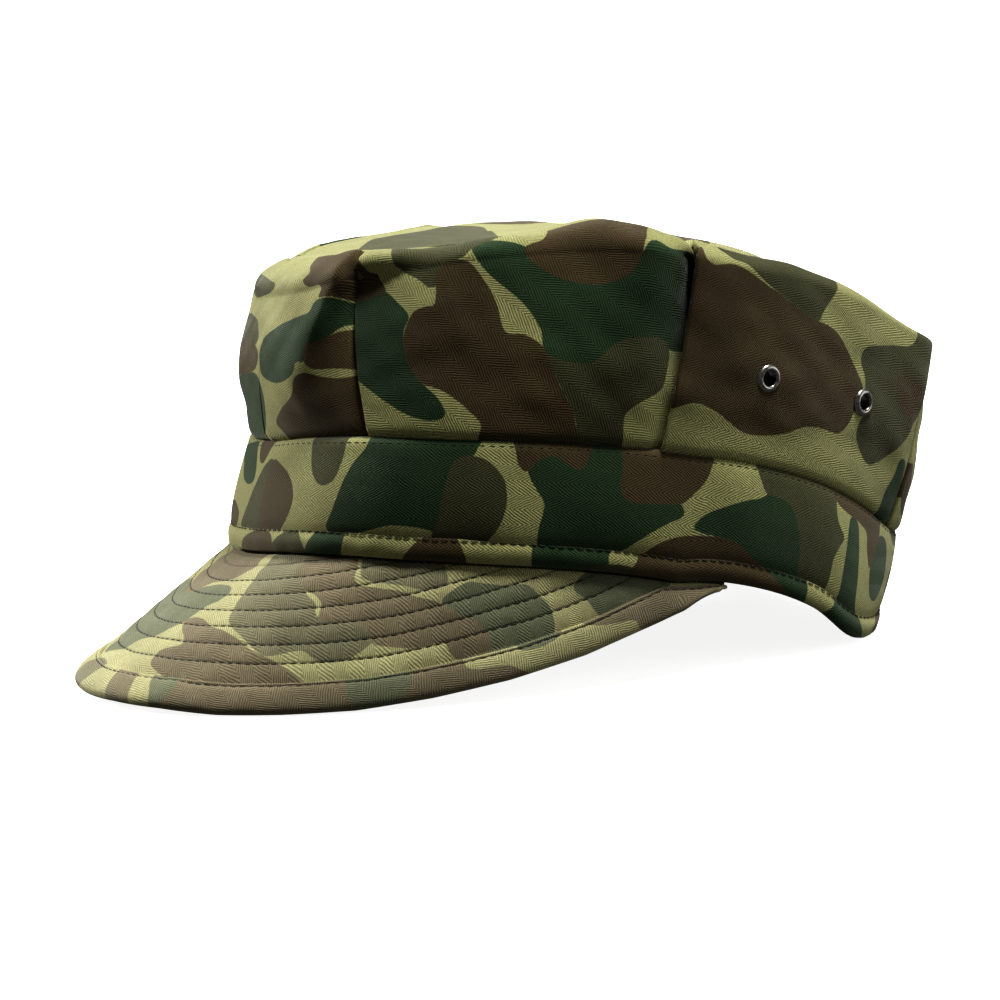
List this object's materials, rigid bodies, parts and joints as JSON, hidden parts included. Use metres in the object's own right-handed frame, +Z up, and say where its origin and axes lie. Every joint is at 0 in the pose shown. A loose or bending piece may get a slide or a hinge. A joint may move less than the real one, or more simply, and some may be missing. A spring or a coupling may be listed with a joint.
{
  "type": "military cap",
  "caption": "Soft cotton field cap with a pleated flat crown, a hemmed band, a stitched visor and vent eyelets.",
  "frame": {"origin": "middle of the cap's footprint, on the surface that it rests on", "axes": "+Z up, the visor points along -Y, the wearer's left is +X"},
  "size_m": [0.1742, 0.2632, 0.1297],
  "materials": {
    "crown_cloth": "herringbone cotton twill, camouflage print, matt",
    "band_cloth": "herringbone cotton twill, camouflage print, matt",
    "visor_cloth": "herringbone cotton twill, camouflage print, stitched in rows, matt",
    "gunmetal": "dark plated metal, softly polished"
  },
  "bodies": {
    "root": {"crown_top": "crown_cloth", "crown_side": "crown_cloth", "band": "band_cloth", "band_hem": "band_cloth", "visor": "visor_cloth", "visor_binding": "visor_cloth", "eyelet_front_left": "gunmetal", "eyelet_rear_left": "gunmetal", "eyelet_front_right": "gunmetal", "eyelet_rear_right": "gunmetal"}
  },
  "joints": []
}
